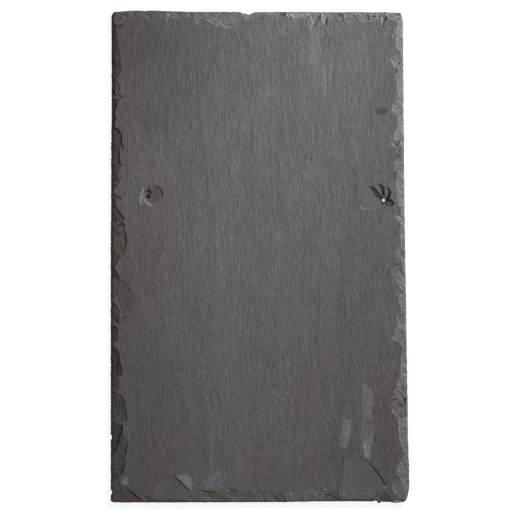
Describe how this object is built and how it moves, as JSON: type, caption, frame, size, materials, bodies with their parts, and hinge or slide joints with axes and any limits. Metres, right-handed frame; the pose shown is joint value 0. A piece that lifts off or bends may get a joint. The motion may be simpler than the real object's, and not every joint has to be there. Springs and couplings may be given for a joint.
{
  "type": "slate roof tile",
  "caption": "Flat rectangular roofing slate with chipped edges, a flaked tail corner and nail holes through a line above its middle.",
  "frame": {"origin": "under the middle of the slate, on its back face", "axes": "+Z out of the weather face, +Y from the tail to the head, +X to the right as the weather face is seen with the head up"},
  "size_m": [0.304, 0.5, 0.007],
  "materials": {
    "slate": "matte"
  },
  "bodies": {
    "root": {"slate": "slate"}
  },
  "joints": []
}
